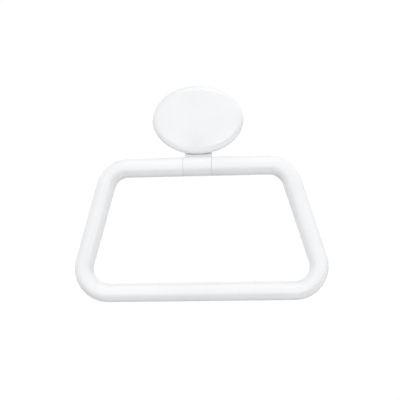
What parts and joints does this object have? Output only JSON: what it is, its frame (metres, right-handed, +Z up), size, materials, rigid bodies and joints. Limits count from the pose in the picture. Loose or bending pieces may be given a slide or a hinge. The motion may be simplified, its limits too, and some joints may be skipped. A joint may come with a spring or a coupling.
{
  "type": "towel ring",
  "caption": "White plastic towel ring for a wall: oval domed cover over a screwed bracket, and a trapezoid ring of round tube that swings from its barrel.",
  "frame": {"origin": "on the wall, at the middle of the oval back plate", "axes": "+Y into the wall, -Y the front, +Z up, +X right seen from the front"},
  "size_m": [0.2096, 0.0585, 0.178],
  "materials": {
    "white_plastic": "gloss",
    "plug_plastic": "matte",
    "screw_steel": "satin"
  },
  "bodies": {
    "wall_bracket": {"bracket": "white_plastic", "cover": "white_plastic", "left_wall_screw": "screw_steel", "right_wall_screw": "screw_steel"},
    "swinging_ring": {"ring": "white_plastic", "left_end_plug": "plug_plastic", "right_end_plug": "plug_plastic"}
  },
  "joints": [
    {"name": "ring_swing", "type": "hinge", "parent": "wall_bracket", "child": "swinging_ring", "pos_m": [0, -0.02, -0.0385], "axis": [-1, 0, 0], "range_deg": [-6.5, 186.5]}
  ]
}
